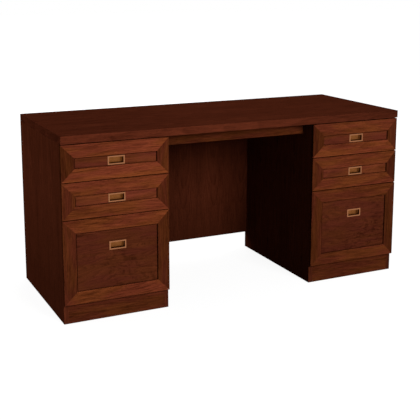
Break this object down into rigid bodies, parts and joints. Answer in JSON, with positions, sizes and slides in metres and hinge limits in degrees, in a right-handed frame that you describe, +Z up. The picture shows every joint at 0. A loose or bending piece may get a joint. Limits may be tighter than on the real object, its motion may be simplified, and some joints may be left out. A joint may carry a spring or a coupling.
{
  "type": "desk",
  "caption": "Double-pedestal writing desk with bevelled picture-frame drawer fronts, flush cup pulls and a centre drawer.",
  "frame": {"origin": "centre of the footprint, on the floor", "axes": "+X to the sitter's right, +Y to the rear, +Z up"},
  "size_m": [1.6, 0.64, 0.77],
  "materials": {
    "top_wood": "satin red-brown lacquer",
    "side_wood": "satin red-brown lacquer",
    "front_wood": "satin red-brown lacquer",
    "panel_wood": "satin red-brown lacquer",
    "inner_wood": "plain sanded softwood and plywood",
    "box_wood": "clear lacquered maple and ply",
    "brass": "satin antique brass",
    "slide_steel": "zinc plated",
    "zinc_steel": "zinc plated",
    "bar_aluminium": "mill"
  },
  "bodies": {
    "carcass": {"desktop": "top_wood", "left_outer_side": "side_wood", "left_inner_side": "side_wood", "right_inner_side": "side_wood", "right_outer_side": "side_wood", "modesty_panel": "side_wood", "pedestal_backs": "side_wood", "pedestal_bottoms": "inner_wood", "kick_boards": "front_wood", "divider_rails": "front_wood", "top_rails": "inner_wood", "top_fixing_screws": "zinc_steel", "corner_blocks": "inner_wood", "floor_levellers": "zinc_steel", "cabinet_slides": "slide_steel"},
    "left_upper_drawer": {"left_upper_front_frame": "front_wood", "left_upper_front_panel": "panel_wood", "left_upper_pull": "brass", "left_upper_box_walls": "box_wood", "left_upper_bottom": "box_wood", "left_upper_slides": "slide_steel"},
    "left_lower_drawer": {"left_lower_front_frame": "front_wood", "left_lower_front_panel": "panel_wood", "left_lower_pull": "brass", "left_lower_box_walls": "box_wood", "left_lower_bottom": "box_wood", "left_lower_slides": "slide_steel"},
    "left_file_drawer": {"left_file_front_frame": "front_wood", "left_file_front_panel": "panel_wood", "left_file_pull": "brass", "left_file_box_walls": "box_wood", "left_file_bottom": "box_wood", "left_file_slides": "slide_steel", "left_file_hanging_bars": "bar_aluminium"},
    "left_file_middle_slides": {"left_file_middle_slides": "slide_steel"},
    "right_upper_drawer": {"right_upper_front_frame": "front_wood", "right_upper_front_panel": "panel_wood", "right_upper_pull": "brass", "right_upper_box_walls": "box_wood", "right_upper_bottom": "box_wood", "right_upper_slides": "slide_steel"},
    "right_lower_drawer": {"right_lower_front_frame": "front_wood", "right_lower_front_panel": "panel_wood", "right_lower_pull": "brass", "right_lower_box_walls": "box_wood", "right_lower_bottom": "box_wood", "right_lower_slides": "slide_steel"},
    "right_file_drawer": {"right_file_front_frame": "front_wood", "right_file_front_panel": "panel_wood", "right_file_pull": "brass", "right_file_box_walls": "box_wood", "right_file_bottom": "box_wood", "right_file_slides": "slide_steel", "right_file_hanging_bars": "bar_aluminium"},
    "right_file_middle_slides": {"right_file_middle_slides": "slide_steel"},
    "centre_drawer": {"centre_front": "front_wood", "centre_box_walls": "box_wood", "centre_bottom": "box_wood", "centre_slides": "slide_steel"}
  },
  "joints": [
    {"name": "left_upper_drawer_slide", "type": "slide", "parent": "carcass", "child": "left_upper_drawer", "axis": [0, -1, 0], "range_m": [0, 0.375]},
    {"name": "left_lower_drawer_slide", "type": "slide", "parent": "carcass", "child": "left_lower_drawer", "axis": [0, -1, 0], "range_m": [0, 0.375]},
    {"name": "left_file_drawer_slide", "type": "slide", "parent": "carcass", "child": "left_file_drawer", "axis": [0, -1, 0], "range_m": [0, 0.46]},
    {"name": "left_file_middle_slide", "type": "slide", "parent": "carcass", "child": "left_file_middle_slides", "axis": [0, -1, 0], "range_m": [0, 0.23]},
    {"name": "right_upper_drawer_slide", "type": "slide", "parent": "carcass", "child": "right_upper_drawer", "axis": [0, -1, 0], "range_m": [0, 0.375]},
    {"name": "right_lower_drawer_slide", "type": "slide", "parent": "carcass", "child": "right_lower_drawer", "axis": [0, -1, 0], "range_m": [0, 0.375]},
    {"name": "right_file_drawer_slide", "type": "slide", "parent": "carcass", "child": "right_file_drawer", "axis": [0, -1, 0], "range_m": [0, 0.46]},
    {"name": "right_file_middle_slide", "type": "slide", "parent": "carcass", "child": "right_file_middle_slides", "axis": [0, -1, 0], "range_m": [0, 0.23]},
    {"name": "centre_drawer_slide", "type": "slide", "parent": "carcass", "child": "centre_drawer", "axis": [0, -1, 0], "range_m": [0, 0.26]}
  ],
  "couplings": [
    {"joint": "left_file_middle_slide", "follows": "left_file_drawer_slide", "ratio": 0.5},
    {"joint": "right_file_middle_slide", "follows": "right_file_drawer_slide", "ratio": 0.5}
  ]
}
